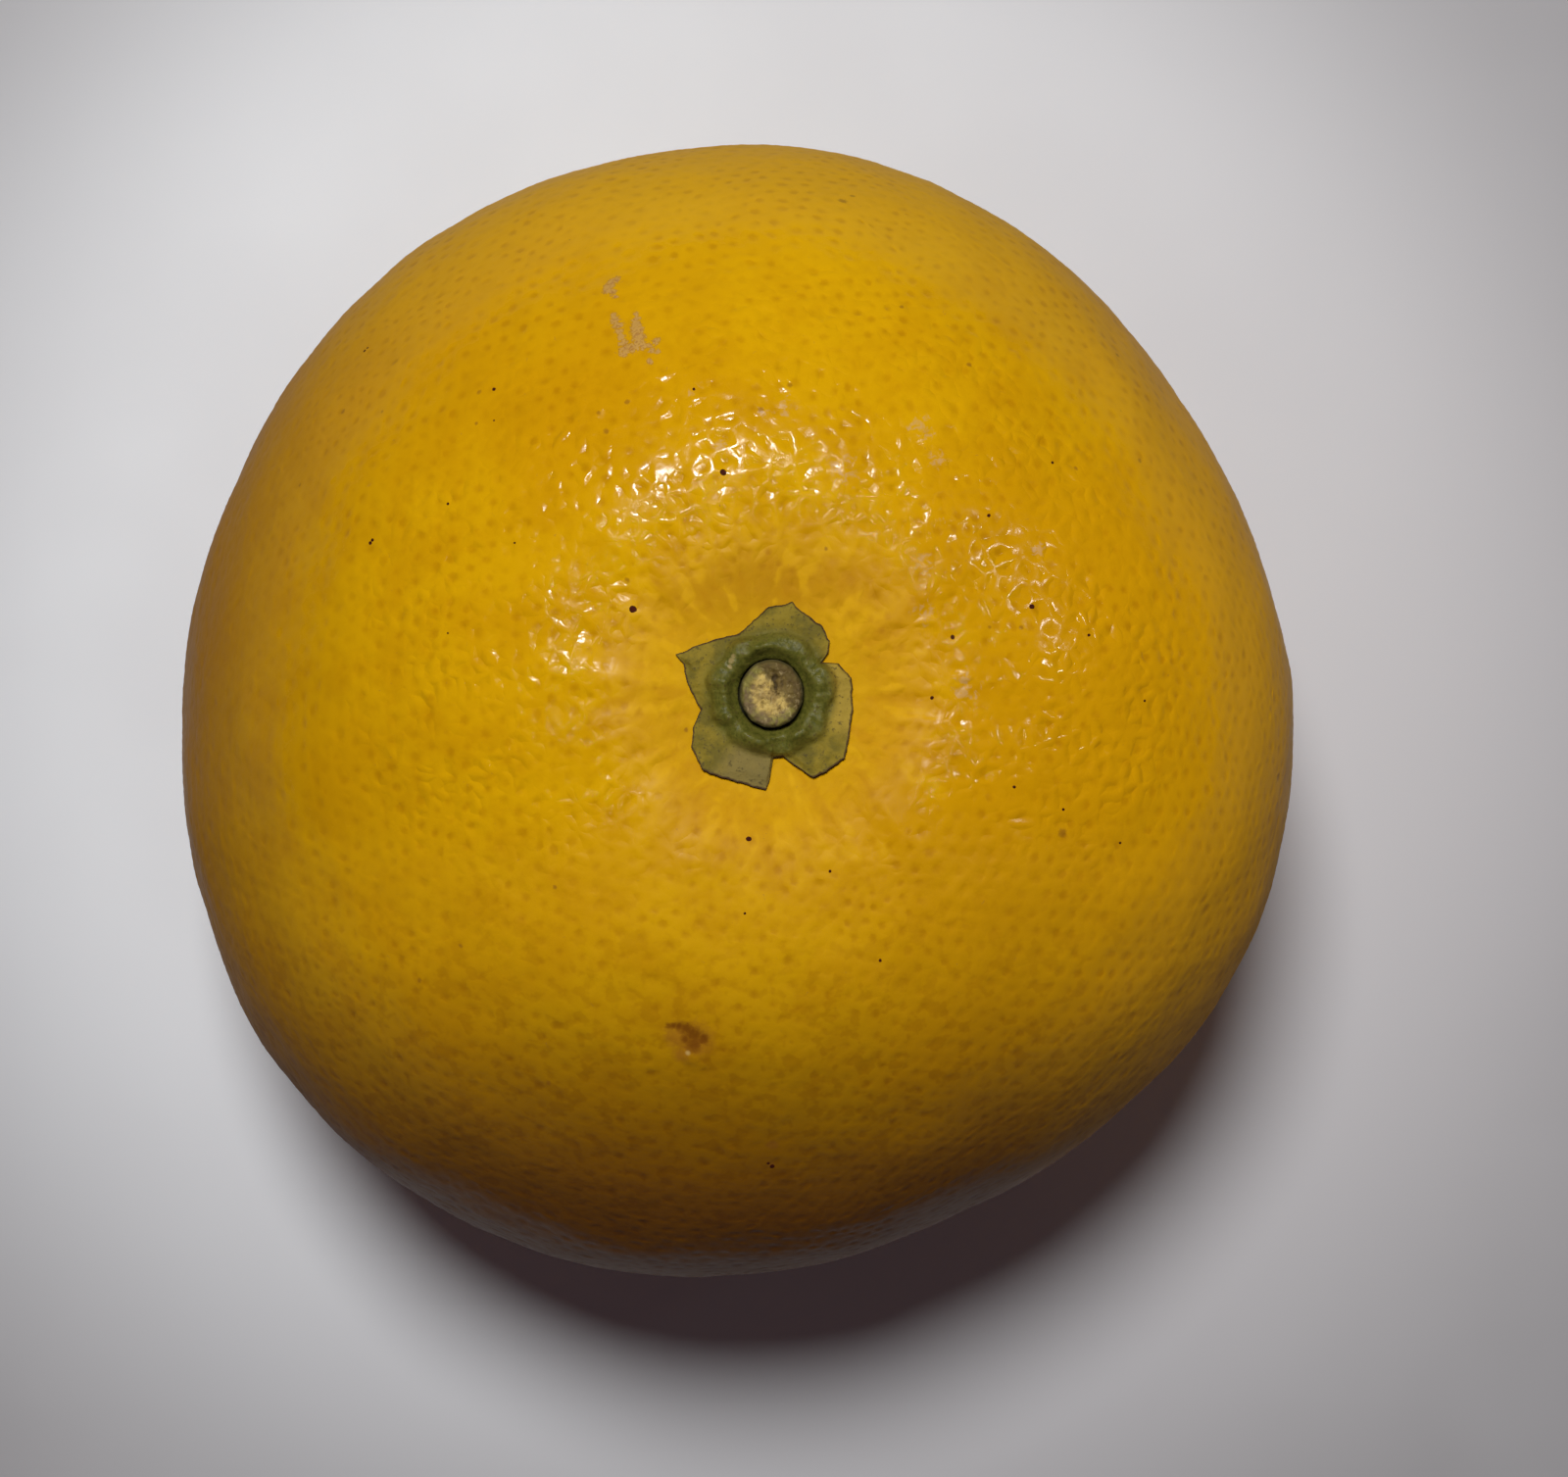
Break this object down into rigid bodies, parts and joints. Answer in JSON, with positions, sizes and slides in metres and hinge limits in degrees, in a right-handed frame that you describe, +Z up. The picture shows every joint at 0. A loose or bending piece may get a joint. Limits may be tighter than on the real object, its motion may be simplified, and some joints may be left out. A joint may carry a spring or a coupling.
{
  "type": "pomelo",
  "caption": "Whole ripe pomelo with amber, pitted rind, a dried green calyx and a short cut stem.",
  "frame": {"origin": "on the ground under the middle of the fruit's bounds, at the height of the flat rest spot", "axes": "+Z up, from the blossom end to the stem end; +Y is the side farthest from whoever looks along +Y, and +X is to their right"},
  "size_m": [0.12, 0.121, 0.1018],
  "materials": {
    "rind": "waxy, pitted, semi-gloss",
    "calyx": "dried, matte",
    "cut_stem": "rough cut face"
  },
  "bodies": {
    "root": {"fruit": "rind", "calyx": "calyx", "stem_stub": "cut_stem"}
  },
  "joints": []
}
